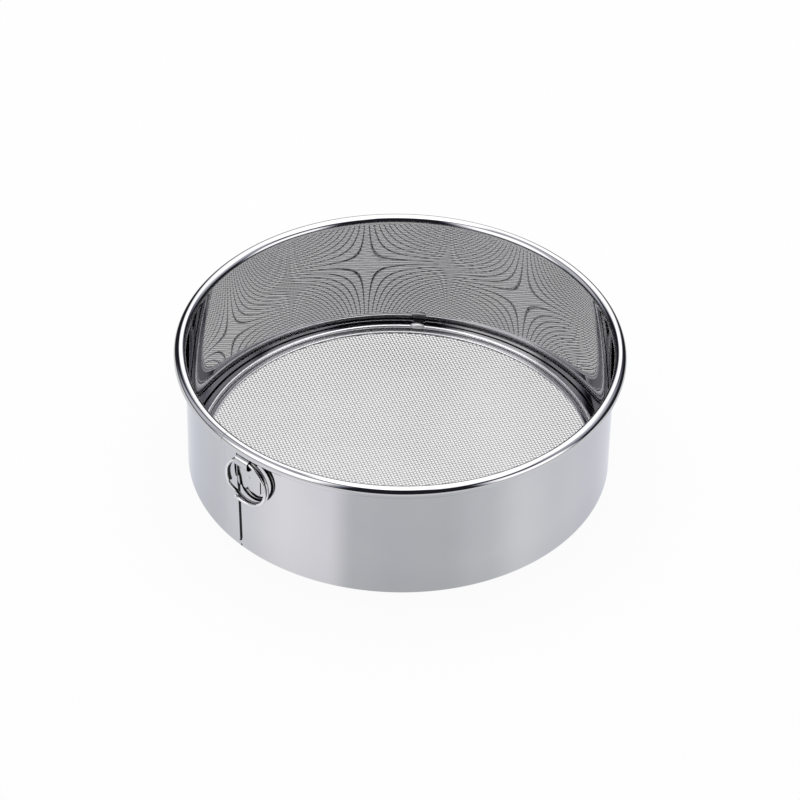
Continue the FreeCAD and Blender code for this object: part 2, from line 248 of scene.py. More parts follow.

# %% [markdown]
# Each finish on the object is this steel with its own tones and roughness. The drum's inside is given a
# darker tone than its outside, as painted shade, drawn wire is pale and satin, and a cut edge is nearly
# black: partly its own dull grey, partly painted shade.

# %% The steels of the sieve
bright_sheet = steel("bright_sheet", light=(0.56, 0.56, 0.57), dark=(0.53, 0.53, 0.545),
                     smooth=0.02, dull=0.06, hairlines=0.0000004, waves=0.00002)
# The inside steel is darker than the outside as painted shade.
shaded_inside_sheet = steel("shaded_inside_sheet", light=(0.46, 0.455, 0.46), dark=(0.43, 0.425, 0.435),
                      smooth=0.008, dull=0.03, hairlines=0.0000004, waves=0.00002)
tab_steel = steel("tab_steel", light=(0.56, 0.56, 0.57), dark=(0.5, 0.5, 0.515),
                  smooth=0.05, dull=0.16, hairlines=0.000001, waves=0.00002, along_drum=False)
woven_steel = steel("woven_steel", light=(0.47, 0.47, 0.48), dark=(0.36, 0.36, 0.37),
                    smooth=0.05, dull=0.14, hairlines=0.0000005, waves=0.0, along_drum=False)
weld_metal = steel("weld_metal", light=(0.95, 0.95, 0.96), dark=(0.86, 0.86, 0.88),
                   smooth=0.38, dull=0.55, hairlines=0.000001, waves=0.00002, along_drum=False)
satin_wire = steel("satin_wire", light=(0.97, 0.97, 0.98), dark=(0.92, 0.92, 0.94),
                   smooth=0.22, dull=0.34, hairlines=0.0000005, waves=0.00001)
core_wire = steel("core_wire", light=(0.42, 0.42, 0.42), dark=(0.34, 0.33, 0.32),
                  smooth=0.25, dull=0.45, hairlines=0.000002, waves=0.0)
# Cut edges are nearly black: partly their own dull grey, partly painted shade along the edges.
cut_edge_shade = steel("cut_edge_shade", light=(0.02, 0.02, 0.021), dark=(0.005, 0.005, 0.005),
                 smooth=0.3, dull=0.5, hairlines=0.000004, waves=0.0, along_drum=False)
print("eight steels; the drum's outside wears", bright_sheet.name, "and its inside", shaded_inside_sheet.name)

# %% [markdown]
# ## The drum band
# One strip of half-millimetre sheet makes the foot, the wall and the rim. Its section is drawn as pairs
# of points, one for each skin, from the inner edge of the foot to the end of the roll. A few extra
# points just before each bend keep the smooth shading of the tall flat wall true, because a mirror shows
# every error of its normals. The roll ends a tenth of a millimetre short of the wall, so a thin crease
# stays.

# %% The band's section
FOOT_BEND = 1.5
FLANGE_INSIDE = 96.4
CREASE = 0.1
LAP_BOTTOM = 3.5
LAP_TOP = 62.4
FOOT_SLIT_TOP = 2.4


def spread(start, end, count):
    """Evenly spaced values with both ends."""
    return [start + (end - start) * step / (count - 1) for step in range(count)]


def arc_pairs(centre, outside, inside, start, end, count):
    """Pairs of points on two circles about one centre; 0 degrees faces out, 90 up."""
    pairs = []
    for angle in spread(start, end, count):
        c, s = math.cos(math.radians(angle)), math.sin(math.radians(angle))
        pairs.append(((centre[0] + outside * c, centre[1] + outside * s),
                      (centre[0] + inside * c, centre[1] + inside * s)))
    return pairs


ROLL_SLACK = 0.02
foot_centre = (WALL_OUTSIDE - FOOT_BEND, FOOT_BEND)
roll_outside = BEAD_DIAMETER / 2 - ROLL_SLACK
roll_inside = BEAD_DIAMETER / 2 - SHEET
roll_end = math.degrees(math.acos((roll_inside - CREASE) / roll_outside)) - 180

band_pairs = [((radius, 0.0), (radius, SHEET)) for radius in (FLANGE_INSIDE, 96.7, 100.0, 102.8)]
band_pairs += arc_pairs(foot_centre, FOOT_BEND, FOOT_BEND - SHEET, -90, 0, 9)
wall_heights = (1.8, FOOT_SLIT_TOP, LAP_BOTTOM, 6.0, 20.0, 40.0, 58.0, LAP_TOP, 64.8, 65.2)
band_pairs += [((WALL_OUTSIDE, height), (WALL_INSIDE, height)) for height in wall_heights]
roll_start_row = len(band_pairs)
band_pairs += arc_pairs(BEAD_CENTRE, roll_inside, roll_outside, 180, roll_end, 61)
print("section of", len(band_pairs), "pairs; the roll ends at", round(roll_end, 1), "degrees")

# %% [markdown]
# The strip's ends overlap beside the hanger: the outer end steps up and lies over the inner one. The
# rim and the foot are butted instead, and show a hairline joint. The columns round the drum therefore
# sit on these edges exactly, and the cells of each joint are left open.

# %% Round the drum with a lap and two joints
STEP_START, LAP_START = -9.8, -9.1
RIM_JOINT, FOOT_JOINT = -7.0, -3.3
RIM_JOINT_HALF = 0.045
FOOT_JOINT_HALF = 0.22
COLUMN_STEP = 0.75
COLUMN_CLEARANCE = 0.12
JOINT_ROWS_BELOW_ROLL = 3

exact_angles = [STEP_START, LAP_START, RIM_JOINT - RIM_JOINT_HALF, RIM_JOINT + RIM_JOINT_HALF,
                FOOT_JOINT - FOOT_JOINT_HALF, FOOT_JOINT + FOOT_JOINT_HALF]
even_angles = [step * COLUMN_STEP for step in range(-240, 240)]
free_angles = [angle for angle in even_angles
               if min(abs(angle - exact) for exact in exact_angles) > COLUMN_CLEARANCE]
drum_angles = sorted(exact_angles + free_angles)


def band_is_open(row, column):
    angle = (drum_angles[column] + drum_angles[(column + 1) % len(drum_angles)]) / 2
    height = (band_pairs[row][0][1] + band_pairs[row + 1][0][1]) / 2
    if abs(angle - RIM_JOINT) < RIM_JOINT_HALF:
        return row > roll_start_row + JOINT_ROWS_BELOW_ROLL
    if abs(angle - FOOT_JOINT) < FOOT_JOINT_HALF:
        return row < roll_start_row and height < FOOT_SLIT_TOP
    return STEP_START < angle < LAP_START and LAP_BOTTOM < height < LAP_TOP and row < roll_start_row


skins = [[[at(pair[side][0], angle, pair[side][1]) for angle in drum_angles] for pair in band_pairs]
         for side in (0, 1)]
band_points, band_faces, band_finish = sheet_faces(*skins, wraps=True, is_open=band_is_open)
print("band of", len(band_pairs), "rows and", len(drum_angles), "columns")

# %% [markdown]
# The inside of the wall has a darker tone than the outside, painted shade for the darker inside of the drum,
# so it mirrors a little less. Only the faces of the inner skin between the foot and the roll get that
# finish.

# %% The inside in painted shade
inner_skin_start = len(band_points) // 2
roll_points_start = inner_skin_start + roll_start_row * len(drum_angles)


def shaded_inside(face):
    return min(face) >= inner_skin_start and max(face) < roll_points_start


band_finish = [2 if kind == 0 and shaded_inside(face) else kind for face, kind in zip(band_faces, band_finish)]
print("scoured faces", band_finish.count(2))

# %% [markdown]
# The lap is the outer end of the strip. Its free edge was cut by hand and leans a little, its lower
# corner is rounded, and the edge itself is rounded over, which gives the bright line along it. The
# columns near the edge are counted from the edge, so they lean and turn the corner with it.

# %% The lap
LAP_CORNER = 2.5
LAP_END_AT_TOP, LAP_END_AT_FOOT = -4.5, -3.55
EDGE_ROUNDING = 0.3


def lap_end(height):
    """Where the free edge is at a height, in degrees."""
    return LAP_END_AT_FOOT + (LAP_END_AT_TOP - LAP_END_AT_FOOT) * height / LAP_TOP


def rounding(radius, depth):
    """How far a rounded corner stands back at a depth from its end."""
    depth = min(max(depth, 0.0), radius)
    return radius - math.sqrt(radius ** 2 - (radius - depth) ** 2)


step_columns = [(angle, WALL_INSIDE + SHEET * min(1.0, (angle - STEP_START) / (LAP_START - STEP_START)))
                for angle in (STEP_START, -9.7, -9.2, LAP_START, -9.0, -8.0, -7.0)]
edge_depths = [LAP_CORNER * math.cos(turn) for turn in spread(0.0, 0.42 * math.pi, 12)]
edge_depths += [EDGE_ROUNDING * (1 - math.sin(turn)) for turn in spread(0.0, math.pi / 2, 7)]
lap_rows = [0.0, 0.004, 0.02, 0.06, 0.2, 0.4, 0.6, 0.8, 0.94, 0.996, 1.0]
lap_skins = ([], [])
for share in lap_rows:
    front_row, back_row = [], []
    for angle, back_radius in step_columns:
        height = LAP_BOTTOM + (LAP_TOP - LAP_BOTTOM) * share
        front_row.append(at(back_radius + SHEET, angle, height))
        back_row.append(at(back_radius, angle, height))
    for depth in edge_depths:
        foot = LAP_BOTTOM + rounding(LAP_CORNER, depth)
        height = foot + (LAP_TOP - foot) * share
        angle = lap_end(height) - math.degrees(depth / WALL_OUTSIDE)
        front_row.append(at(WALL_OUTSIDE + SHEET - rounding(EDGE_ROUNDING, depth), angle, height))
        back_row.append(at(WALL_OUTSIDE, angle, height))
    lap_skins[0].append(front_row)
    lap_skins[1].append(back_row)
lap_points, lap_faces, lap_finish = sheet_faces(*lap_skins, wraps=False)
print("lap of", len(lap_faces), "faces, leaning", round(LAP_END_AT_FOOT - LAP_END_AT_TOP, 2), "degrees")

# %% [markdown]
# A thin dark line follows the corner under the free edge: a sheet of nearly black steel, painted shade for
# that corner. It is a fillet with a three-cornered section, sunk a hair into the wall and tucked under the
# edge.

# %% The line of painted shade along the lap
LINE_WIDTH = 1.4
LINE_HEIGHT = 0.42
LINE_SINK = 0.01
LINE_TUCK = 0.02
LINE_START = LAP_BOTTOM + LAP_CORNER * 0.3
shade_line_points, shade_line_faces = [], []
line_heights = spread(LINE_START, LAP_TOP, 24)
for height in line_heights:
    angle = lap_end(height) - math.degrees(rounding(LAP_CORNER, height - LAP_BOTTOM) / WALL_OUTSIDE)
    under_edge = angle - LINE_TUCK
    far_side = angle + math.degrees(LINE_WIDTH / WALL_OUTSIDE)
    shade_line_points += [at(WALL_OUTSIDE - LINE_SINK, under_edge, height),
                    at(WALL_OUTSIDE + LINE_HEIGHT, under_edge, height),
                    at(WALL_OUTSIDE - LINE_SINK, far_side, height)]
for row in range(len(line_heights) - 1):
    for side in range(3):
        beside = (side + 1) % 3
        shade_line_faces.append([3 * row + side, 3 * row + beside, 3 * row + 3 + beside, 3 * row + 3 + side])
shade_line_faces += [[2, 1, 0], [len(shade_line_points) - 3, len(shade_line_points) - 2, len(shade_line_points) - 1]]
print("dark line from", LINE_START, "to", LAP_TOP, "mm above the table")

# %% [markdown]
# The band, its lap and the dark line of painted shade are one object; the band and its lap are one strip on
# the real sieve. The number of each face's finish picks its steel from the object's list of materials.

# %% Join the band
def joined(*parts):
    """Several lots of points, faces and finishes as one."""
    points, faces, finish = [], [], []
    for part_points, part_faces, part_finish in parts:
        faces += [[corner + len(points) for corner in face] for face in part_faces]
        points += part_points
        finish += part_finish
    return points, faces, finish


# The dark line takes finish 1, the nearly black steel, as painted shade.
strip_points, strip_faces, strip_finish = joined(
    (band_points, band_faces, band_finish), (lap_points, lap_faces, lap_finish),
    (shade_line_points, shade_line_faces, [1] * len(shade_line_faces)))
make_piece("drum_band_sheet", strip_points, strip_faces, [bright_sheet, cut_edge_shade, shaded_inside_sheet],
           "drum", "bright_sheet", ["drum_band"], finish=strip_finish)

# %% [markdown]
# ## Turned pieces
# A ring is a closed section turned about the drum's axis. Blender's Screw or Spin tool would do it by hand,
# and here a helper repeats the section at each angle and joins neighbours with faces.

# %% A helper that turns a section
def turned_faces(section, angles):
    """Points and faces of a closed section of (radius, height) turned about the drum's axis."""
    count = len(section)
    points = [at(radius, angle, height) for angle in angles for radius, height in section]
    faces = []
    for column in range(len(angles)):
        after = (column + 1) % len(angles)
        for row in range(count):
            beside = (row + 1) % count
            faces.append([column * count + row, column * count + beside,
                          after * count + beside, after * count + row])
    return points, faces


fine_angles = [step * COLUMN_STEP for step in range(480)]
print("rings have", len(fine_angles), "columns")

# %% [markdown]
# ## The clamp ring
# A flat ring of sheet presses the cloth on the foot. Its inner edge is turned up a little to a satin lip,
# which makes the thin bright line round the cloth.

# %% The clamp ring
CLOTH_TOP = 1.2
CLAMP_SHEET = 0.4
CLAMP_INSIDE, CLAMP_OUTSIDE = 95.6, 103.4
CLAMP_EDGE = 0.1
clamp_top = CLOTH_TOP + CLAMP_SHEET
LIP_RADIUS = 0.5
LIP_RISE = 0.15
lip_centre = (CLAMP_INSIDE + LIP_RADIUS, clamp_top - LIP_RADIUS + LIP_RISE)
clamp_section = [(CLAMP_OUTSIDE, CLOTH_TOP), (CLAMP_INSIDE + CLAMP_EDGE, CLOTH_TOP),
                 (CLAMP_INSIDE, CLOTH_TOP + CLAMP_EDGE / 2)]
clamp_section += [(lip_centre[0] + LIP_RADIUS * math.cos(turn),
                   lip_centre[1] + LIP_RADIUS * math.sin(turn))
                  for turn in spread(math.pi, 0.25 * math.pi, 15)]
lip_end = len(clamp_section)
clamp_section += [(lip_centre[0] + 0.55, clamp_top + 0.02), (lip_centre[0] + 0.75, clamp_top),
                  (CLAMP_OUTSIDE - 0.3, clamp_top), (CLAMP_OUTSIDE - CLAMP_EDGE, clamp_top),
                  (CLAMP_OUTSIDE, clamp_top - CLAMP_EDGE)]
clamp_points, clamp_faces = turned_faces(clamp_section, fine_angles)
LIP_START = 2
clamp_finish = [1 if LIP_START <= index % len(clamp_section) < lip_end else 0
                for index in range(len(clamp_faces))]
# The flat of the ring wears the darker inside steel, painted shade as on the inside of the wall.
make_piece("clamp_ring_sheet", clamp_points, clamp_faces, [shaded_inside_sheet, satin_wire],
           "drum", "bright_sheet", ["clamp_ring"], finish=clamp_finish)

# %% [markdown]
# ## Wire
# Wire is a circle carried along a line. A curve with a round bevel would do too, but this helper lets the
# radius change from point to point, which is all that a weld needs. It stands a ring of points square to
# the line at each of its points and joins neighbouring rings.

# %% A helper that makes wire
def wire_faces(line, radii, sides, closed):
    """Points and faces of wire along a line of points in metres."""
    count = len(line)
    points, faces = [], []
    side = None
    for index, point in enumerate(line):
        before = line[index - 1] if closed or index > 0 else point
        after = line[(index + 1) % count] if closed or index < count - 1 else point
        direction = (Vector(after) - Vector(before)).normalized()
        if side is None:
            side = Vector((0, 0, 1)) if abs(direction.z) < 0.9 else Vector((1, 0, 0))
        side = (side - direction * side.dot(direction)).normalized()
        other = direction.cross(side)
        for step in range(sides):
            turn = 2 * math.pi * step / sides
            points.append(Vector(point) + (side * math.cos(turn) + other * math.sin(turn)) * radii[index])
    for index in range(count if closed else count - 1):
        after = (index + 1) % count
        for step in range(sides):
            beside = (step + 1) % sides
            faces.append([index * sides + step, index * sides + beside,
                          after * sides + beside, after * sides + step])
    if not closed:
        faces.append(list(reversed(range(sides))))
        faces.append(list(range((count - 1) * sides, count * sides)))
    return points, faces


print("wire helper ready")

# %% [markdown]
# ## The retaining ring
# The retaining ring is a wire that lies on the clamp ring and holds it down. Its ends are butt-welded, and
# the weld stays as a bright lump at the back of the drum, a little lopsided, as welds are. The weld has
# close columns and a rougher steel of its own.

# %% The retaining ring
RETAINER_RADIUS = 99.5
RETAINER_WIRE = 2.0
RETAINER_GAP = 0.01
WELD_ANGLE = 217.1
WELD_LENGTH = 6.0
WELD_WIDTH = 3.3
WELD_LEAN = 0.1
WELD_SHIFT = 0.15
WELD_STEP, WELD_STEPS = 0.1, 22
WIRE_SIDES = 24
retainer_line, retainer_radii = [], []
weld_angles = [WELD_ANGLE + step * WELD_STEP for step in range(-WELD_STEPS, WELD_STEPS + 1)]
plain_angles = [angle for angle in fine_angles if abs(angle - WELD_ANGLE) > WELD_STEP * (WELD_STEPS + 1)]
retainer_angles = sorted(weld_angles + plain_angles)
for angle in retainer_angles:
    along = math.radians(angle - WELD_ANGLE) * RETAINER_RADIUS / (WELD_LENGTH / 2)
    lump = math.sqrt(max(0.0, 1 - along ** 2)) * (1 + WELD_LEAN * along)
    thickness = RETAINER_WIRE + (WELD_WIDTH - RETAINER_WIRE) * lump
    retainer_line.append(at(RETAINER_RADIUS - WELD_SHIFT * lump, angle,
                            clamp_top + RETAINER_GAP + thickness / 2))
    retainer_radii.append(thickness / 2000)
retainer_points, retainer_faces = wire_faces(retainer_line, retainer_radii, WIRE_SIDES, closed=True)
on_weld = [1 if radius > RETAINER_WIRE / 2000 else 0
           for radius in retainer_radii for _ in range(WIRE_SIDES)]
make_piece("retaining_ring_wire", retainer_points, retainer_faces, [satin_wire, weld_metal],
           "drum", "bright_wire", ["retaining_ring"], finish=on_weld)

# %% [markdown]
# ## The woven cloth
# The floor is plain-woven wire, sixteen to the inch. Each wire goes over one neighbour and under the
# next, so its height follows a zigzag with flat tops at the crossings, and each row is half a turn out of
# step with the last. Real wires are modelled here, not a texture, because the wall mirrors them and the
# eye sees the fine pattern twice. They come as four pieces to keep each mesh of a handy size.

# %% Weave the cloth
WEAVE_PITCH = 1.6
WEAVE_WIRE = 0.35
CLOTH_RADIUS = 102.2
CLOTH_MIDDLE = SHEET + WEAVE_WIRE
WEAVE_TURN = 61.4
CREST = 0.2

turn = math.radians(WEAVE_TURN)
weave_axes = {"warp": ((math.cos(turn), math.sin(turn)), (-math.sin(turn), math.cos(turn))),
              "weft": ((-math.sin(turn), math.cos(turn)), (math.cos(turn), math.sin(turn)))}


def woven_wires(direction, odd, sides=6):
    """All wires of one direction that start with the same phase."""
    along, across = weave_axes[direction]
    points, faces = [], []
    reach = int(CLOTH_RADIUS / WEAVE_PITCH)
    ring = [(math.cos(2 * math.pi * step / sides), math.sin(2 * math.pi * step / sides))
            for step in range(sides)]
    for row in range(-reach, reach + 1):
        if row % 2 != odd:
            continue
        half_length = math.sqrt(CLOTH_RADIUS ** 2 - (row * WEAVE_PITCH) ** 2)
        last = int(half_length / WEAVE_PITCH - CREST)
        first_point = len(points)
        stations = 0
        for crossing in range(-last, last + 1):
            over = 1 if (row + crossing) % 2 == (direction == "warp") else -1
            height = CLOTH_MIDDLE + over * WEAVE_WIRE / 2
            for share in (-CREST, CREST):
                run = (crossing + share) * WEAVE_PITCH
                stations += 1
                for c, s in ring:
                    aside = row * WEAVE_PITCH + c * WEAVE_WIRE / 2
                    points.append(((along[0] * run + across[0] * aside) / 1000,
                                   (along[1] * run + across[1] * aside) / 1000,
                                   (height + s * WEAVE_WIRE / 2) / 1000))
        for station in range(stations - 1):
            start = first_point + station * sides
            for step in range(sides):
                beside = (step + 1) % sides
                faces.append([start + step, start + beside, start + sides + beside, start + sides + step])
        faces.append(list(reversed(range(first_point, first_point + sides))))
        faces.append(list(range(first_point + (stations - 1) * sides, first_point + stations * sides)))
    return points, faces


for direction in ("warp", "weft"):
    for odd in (0, 1):
        make_piece(f"cloth_{direction}_{'odd' if odd else 'even'}", *woven_wires(direction, odd),
                   [woven_steel], "drum", "woven_wire", ["sieve_mesh"], sharp_angle=80)

# %% [markdown]
# ## The hanger tab
# A small plate is spot-welded on the lap, and its narrow tongue is rolled forward into an eye. It is cut
# flat and then bent, so the mesh is built the same way: an outline gives the width at each height, and
# the rows then follow the plate up and over the roll.

# %% The tab's outline
TAB_SHEET = 0.4
TAB_HALF_WIDTH = 7.3
TAB_BOTTOM = 40.2
TAB_SHOULDER = 53.0
TAB_CORNER = 1.5
SHOULDER_CORNER = 0.9
EYE_LEFT, EYE_RIGHT = -4.6, 3.4
EYE_CENTRE = (WALL_OUTSIDE + 2.5, 58.7)
EYE_OUTSIDE = 2.5
EYE_DROP = 1.2


def tab_edge(height, wide, narrow):
    """Distance of the plate's edge from the middle line at a height."""
    if height <= TAB_SHOULDER:
        return wide - rounding(TAB_CORNER, height - TAB_BOTTOM) - rounding(
            SHOULDER_CORNER, TAB_SHOULDER - height)
    return narrow + rounding(SHOULDER_CORNER, height - TAB_SHOULDER)


corner_steps = [1 - math.cos(turn) for turn in spread(0.0, math.pi / 2, 8)]
tab_heights = [TAB_BOTTOM + TAB_CORNER * step for step in corner_steps]
tab_heights += spread(TAB_BOTTOM + TAB_CORNER + 0.25, TAB_SHOULDER - SHOULDER_CORNER - 0.2, 36)
tab_heights += [TAB_SHOULDER - SHOULDER_CORNER * step for step in reversed(corner_steps)]
tab_heights += [TAB_SHOULDER + 0.02 + SHOULDER_CORNER * step for step in corner_steps]
tab_heights += spread(TAB_SHOULDER + SHOULDER_CORNER + 0.3, EYE_CENTRE[1] - 0.3, 8)
print("tab rows", len(tab_heights))

# %% [markdown]
# The spot weld pressed a shallow dish in the plate, with a slightly raised rim. Only the front skin of
# the sheet moves.

# %% The spot weld
SPOT_HEIGHT = 47.5
SPOT_RADIUS = 1.2
SPOT_DEPTH = 0.2
SPOT_RIM = 0.035
SPOT_RIM_PLACE, SPOT_RIM_WIDTH = 1.12, 0.16


def spot_dent(x, height):
    """How far the front skin moves, inwards in the dish and outwards on its rim."""
    distance = math.hypot(x, height - SPOT_HEIGHT) / SPOT_RADIUS
    if distance < 1:
        return -SPOT_DEPTH * (1 - distance ** 2)
    return SPOT_RIM * math.exp(-((distance - SPOT_RIM_PLACE) / SPOT_RIM_WIDTH) ** 2)


print("spot weld", 2 * SPOT_RADIUS, "mm wide, pressed in by", -spot_dent(0.0, SPOT_HEIGHT), "mm")

# %% [markdown]
# Now the plate is bent. Its rows go up the wall, over the round top of the eye, down its straight front and
# round its bottom, back to the plate. The inside of the eye gets the nearly black edge steel, as painted
# shade.

# %% Bend the tab
TAB_COLUMNS = 45


def on_drum(x, radius, height):
    """A point at a sideways distance from the front line, on a circle about the drum's axis."""
    return (x / 1000, -math.sqrt(radius ** 2 - x ** 2) / 1000, height / 1000)


tab_rows = [((WALL_OUTSIDE, height), (WALL_OUTSIDE + TAB_SHEET, height)) for height in tab_heights]
flat_row_count = len(tab_rows)
tab_rows += arc_pairs(EYE_CENTRE, EYE_OUTSIDE, EYE_OUTSIDE - TAB_SHEET, 180, 0, 29)
lower_centre = (EYE_CENTRE[0], EYE_CENTRE[1] - EYE_DROP)
eye_end = math.degrees(math.acos((EYE_OUTSIDE - TAB_SHEET - CREASE) / EYE_OUTSIDE)) - 180
tab_rows += arc_pairs(lower_centre, EYE_OUTSIDE, EYE_OUTSIDE - TAB_SHEET, 0, eye_end, 23)
tab_skins = ([], [])
for index, pair in enumerate(tab_rows):
    height = pair[0][1] if index < flat_row_count else EYE_CENTRE[1]
    left = -tab_edge(height, TAB_HALF_WIDTH, -EYE_LEFT)
    right = tab_edge(height, TAB_HALF_WIDTH, EYE_RIGHT)
    for side in (0, 1):
        row = []
        for x in spread(left, right, TAB_COLUMNS):
            dent = spot_dent(x, height) if side == 1 and index < flat_row_count else 0.0
            row.append(on_drum(x, pair[side][0] + dent, pair[side][1]))
        tab_skins[side].append(row)
tab_points, tab_faces, tab_finish = sheet_faces(*tab_skins, wraps=False)
# The faces inside the eye get finish 1, the nearly black steel: painted shade in the bore.
bore_start = len(tab_points) // 2 + TAB_COLUMNS * flat_row_count
tab_finish = [1 if min(face) >= bore_start else kind for face, kind in zip(tab_faces, tab_finish)]
make_piece("hanger_tab_plate", tab_points, tab_faces, [tab_steel, cut_edge_shade],
           "drum", "tab_sheet", ["hanger_tab"], finish=tab_finish)

# %% [markdown]
# ## The split ring's plating
# The ring is plated, and its front is bright. Its side towards the drum and the groove between its two
# turns are painted nearly black, as painted shade, with fine specks of random tone. Painting this by hand
# would need a picture. The material finds the places by the direction that the surface faces and by the
# depth, both measured on the ring itself, so the painted shade goes with the ring when it swings.

# %% Plating with painted shade
RING_DEPTH = 106.9626
GROOVE_SHADE_FULL, GROOVE_SHADE_END = 0.00025, 0.0006
PAINTED_SHADE = (0.02, 0.02, 0.021, 1.0)
PLATING = (0.66, 0.66, 0.665, 1.0)
plated_wire = new_material("plated_wire")
ring_place = add_node(plated_wire, "ShaderNodeTexCoord")
facing = add_node(plated_wire, "ShaderNodeSeparateXYZ", {"Vector": ring_place.outputs["Normal"]})
depth = add_node(plated_wire, "ShaderNodeSeparateXYZ", {"Vector": ring_place.outputs["Object"]})
from_groove = math_value(plated_wire, "ADD", depth.outputs["Y"], RING_DEPTH / 1000)
from_groove = math_value(plated_wire, "ABSOLUTE", from_groove)
# Painted shade: the side facing the drum and the groove between the turns go nearly black.
front_out_of_shade = between(plated_wire, facing.outputs["Y"], -0.1, 0.35, 1.0, 0.0)
groove_out_of_shade = between(plated_wire, from_groove, GROOVE_SHADE_FULL, GROOVE_SHADE_END, 0.0, 1.0)
specks = noise_value(plated_wire, ring_place.outputs["Object"], (1.0, 1.0, 1.0), 500.0)
speckled = between(plated_wire, specks, 0.3, 0.5, 0.75, 1.0)
unshaded_and_speckled = math_value(plated_wire, "MULTIPLY", front_out_of_shade, groove_out_of_shade)
unshaded_and_speckled = math_value(plated_wire, "MULTIPLY", unshaded_and_speckled, speckled)
ring_tone = add_node(plated_wire, "ShaderNodeMix",
                     {"Factor": unshaded_and_speckled, "A": PAINTED_SHADE, "B": PLATING}, data_type="RGBA")
ring_bump = add_node(plated_wire, "ShaderNodeBump", {"Height": specks, "Distance": 0.000003})
ring_shader = add_node(plated_wire, "ShaderNodeBsdfPrincipled", {
    "Base Color": ring_tone.outputs[2], "Metallic": 1.0, "Normal": ring_bump.outputs["Normal"],
    "Roughness": between(plated_wire, unshaded_and_speckled, 0.0, 1.0, 0.22, 0.03)})
add_node(plated_wire, "ShaderNodeOutputMaterial", {"Surface": ring_shader.outputs["BSDF"]})
print("plating has", len(plated_wire.node_tree.nodes), "nodes")

# %% [markdown]
# ## The split ring
# The ring is two turns of one round wire that nearly touch, like a key ring. One turn lies behind, the wire
# steps across in a short kink, and the second turn lies in front. The free end of the front turn has been
# pulled out a little by use, and the whole ring hangs turned by two degrees. Its line is a formula of the
# angle round the ring, from the top. It rides on its own body, so it swings in the eye.

# %% Wind the split ring
RING_WIRE = 1.6
RING_RADIUS = 12.3
RING_X = 0.9
RING_TOP = 59.36
COIL_GAP = 0.03
KINK_START, KINK_END = 209.6, 245.0
SPLAY = 0.85
SPLAY_LENGTH = 60.0
RING_YAW = math.radians(2.0)
BLUNT_END = 0.82
ring_end = KINK_START + 720


def ease(share):
    """A smooth step from 0 to 1, level at both ends."""
    share = min(max(share, 0.0), 1.0)
    return share * share * (3 - 2 * share)


def coil_offset(angle):
    """How far the wire stands in front of or behind the ring's middle, at an angle along it."""
    back = (RING_WIRE + COIL_GAP) / 2
    offset = back - 2 * back * ease((angle - KINK_START - 360) / (KINK_END - KINK_START))
    return offset - SPLAY * max(0.0, (angle - (ring_end - SPLAY_LENGTH)) / SPLAY_LENGTH) ** 1.6


ring_line = []
for angle in spread(KINK_END, ring_end, 401):
    turn = math.radians(angle)
    aside = RING_RADIUS * math.sin(turn)
    ring_line.append(((RING_X + aside * math.cos(RING_YAW)) / 1000,
                      (coil_offset(angle) - RING_DEPTH + aside * math.sin(RING_YAW)) / 1000,
                      (RING_TOP - RING_RADIUS + RING_RADIUS * math.cos(turn)) / 1000))
ring_radii = [RING_WIRE / 2000] * len(ring_line)
ring_radii[0] = ring_radii[-1] = RING_WIRE / 2000 * BLUNT_END
make_piece("split_ring_wire", *wire_faces(ring_line, ring_radii, 20, closed=False),
           [plated_wire], "ring", "ring_wire", ["hanging_ring"])

# %% [markdown]
# ## The wire in the rim
# The core wire is hidden in the roll, and shows only as a dark line through the hairline joint. Its CAD
# solid has the right shape already, so it stays and only gets its material.

# %% Dress the core wire
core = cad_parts["rim_wire"]
core.data.materials.clear()
core.data.materials.append(core_wire)
print("core wire dressed with", core_wire.name)

# %% [markdown]
# ## The studio
# A mirror shows its surroundings, so the studio is part of the steel's look. Such metal is photographed on
# a white table in a tent of black cloth, and white windows in the cloth draw the highlights. Everything
# white is seen by cameras and mirrors at full white, but gives the matt surfaces less light. This keeps the
# background white while the lamps stay plain.

# %% White for cameras and mirrors
WHITE = (1.0, 1.0, 1.0, 1.0)


def white_share(material, strength):
    """How much white to mix in: the strength for cameras and mirrors, and none for other light."""
    path = add_node(material, "ShaderNodeLightPath")
    seen = math_value(material, "MAXIMUM", path.outputs["Is Camera Ray"], path.outputs["Is Glossy Ray"])
    seen = math_value(material, "MAXIMUM", seen, path.outputs["Is Transmission Ray"])
    return math_value(material, "MULTIPLY", seen, strength)


def stage_piece(name, points, faces, material):
    """A mesh that belongs to the studio and not to the sieve."""
    mesh = bpy.data.meshes.new(name)
    mesh.from_pydata(points, [], faces)
    mesh.materials.append(material)
    piece = new_object(name, mesh)
    return piece


print("studio helpers ready")

# %% [markdown]
# The floor is nearly all white to the camera, and the rest of it is matt, which keeps the drum's soft
# shadow. It lies a tenth of a millimetre below the foot, and is see-through from below, so that the
# underside of the drum can be looked at too.

# %% The floor
FLOOR_WHITE = 0.93
FLOOR_HALF = 4.0
FLOOR_HEIGHT = -0.0001
floor_paint = new_material("floor_paint")
floor_share = white_share(floor_paint, FLOOR_WHITE)
floor_diffuse = add_node(floor_paint, "ShaderNodeBsdfDiffuse", {"Color": (0.9, 0.9, 0.9, 1.0)})
floor_white = add_node(floor_paint, "ShaderNodeEmission", {"Color": WHITE, "Strength": 1.0})
floor_top = add_node(floor_paint, "ShaderNodeMixShader",
                     {0: floor_share, 1: floor_diffuse.outputs[0], 2: floor_white.outputs[0]})
floor_below = add_node(floor_paint, "ShaderNodeBsdfTransparent", {"Color": WHITE})
floor_geometry = add_node(floor_paint, "ShaderNodeNewGeometry")
floor_sides = add_node(floor_paint, "ShaderNodeMixShader", {
    0: floor_geometry.outputs["Backfacing"], 1: floor_top.outputs[0], 2: floor_below.outputs[0]})
